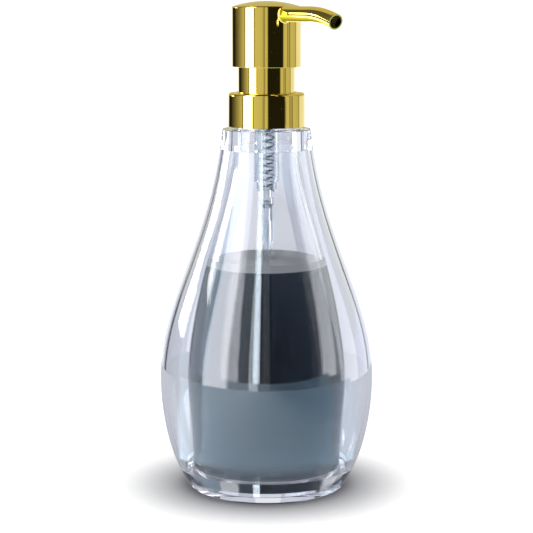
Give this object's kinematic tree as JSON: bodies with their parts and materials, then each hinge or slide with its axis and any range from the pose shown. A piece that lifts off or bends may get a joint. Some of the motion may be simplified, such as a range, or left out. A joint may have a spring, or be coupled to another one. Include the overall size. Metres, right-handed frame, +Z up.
{
  "type": "soap pump dispenser",
  "caption": "Clear double-walled pear-shaped bottle with a gold screw collar and a press-down pump head whose slim spout swivels.",
  "frame": {"origin": "centre of the foot's flat underside, on the bottle's axis", "axes": "+Z up along the bottle's axis; +X the way the spout points at rest"},
  "size_m": [0.092, 0.0858, 0.195],
  "materials": {
    "clear_acrylic": "clear polished acrylic",
    "polished_gold": "mirror-polished gold anodised",
    "natural_plastic": "translucent moulded",
    "white_plastic": "moulded",
    "piston_plastic": "soft moulded",
    "dark_plastic": "moulded",
    "spring_steel": "drawn wire",
    "ball_glass": "polished",
    "gasket_foam": "soft"
  },
  "bodies": {
    "bottle": {"outer_shell": "clear_acrylic", "inner_reservoir": "clear_acrylic", "neck_ring": "clear_acrylic", "base_plug": "clear_acrylic"},
    "pump": {"neck_gasket": "gasket_foam", "pump_housing": "natural_plastic", "dip_tube": "natural_plastic", "stem_guide": "white_plastic", "guide_sleeve": "polished_gold", "spring": "spring_steel"},
    "collar": {"collar_shell": "polished_gold", "collar_liner": "white_plastic"},
    "valve": {"inlet_ball": "ball_glass"},
    "plunger": {"piston_seat": "white_plastic", "piston": "piston_plastic", "stem": "natural_plastic"},
    "head": {"head_shell": "polished_gold", "head_core": "white_plastic", "spout_tube": "polished_gold", "spout_liner": "dark_plastic"}
  },
  "joints": [
    {"name": "pump_lift", "type": "slide", "parent": "bottle", "child": "pump", "axis": [0, 0, 1], "range_m": [0, 0.165]},
    {"name": "collar_turn", "type": "hinge", "parent": "pump", "child": "collar", "pos_m": [0, 0, 0.152], "axis": [0, 0, 1], "range_deg": [0, 486]},
    {"name": "inlet_ball_lift", "type": "slide", "parent": "pump", "child": "valve", "axis": [0, 0, 1], "range_m": [0, 0.0012]},
    {"name": "head_press", "type": "slide", "parent": "pump", "child": "plunger", "axis": [0, 0, -1], "range_m": [0, 0.0095], "stiffness_N_per_m": 1050, "springref_m": -0.0038, "deforming": ["spring"]},
    {"name": "head_swivel", "type": "hinge", "parent": "plunger", "child": "head", "pos_m": [0, 0, 0.18], "axis": [0, 0, 1], "continuous": true}
  ]
}
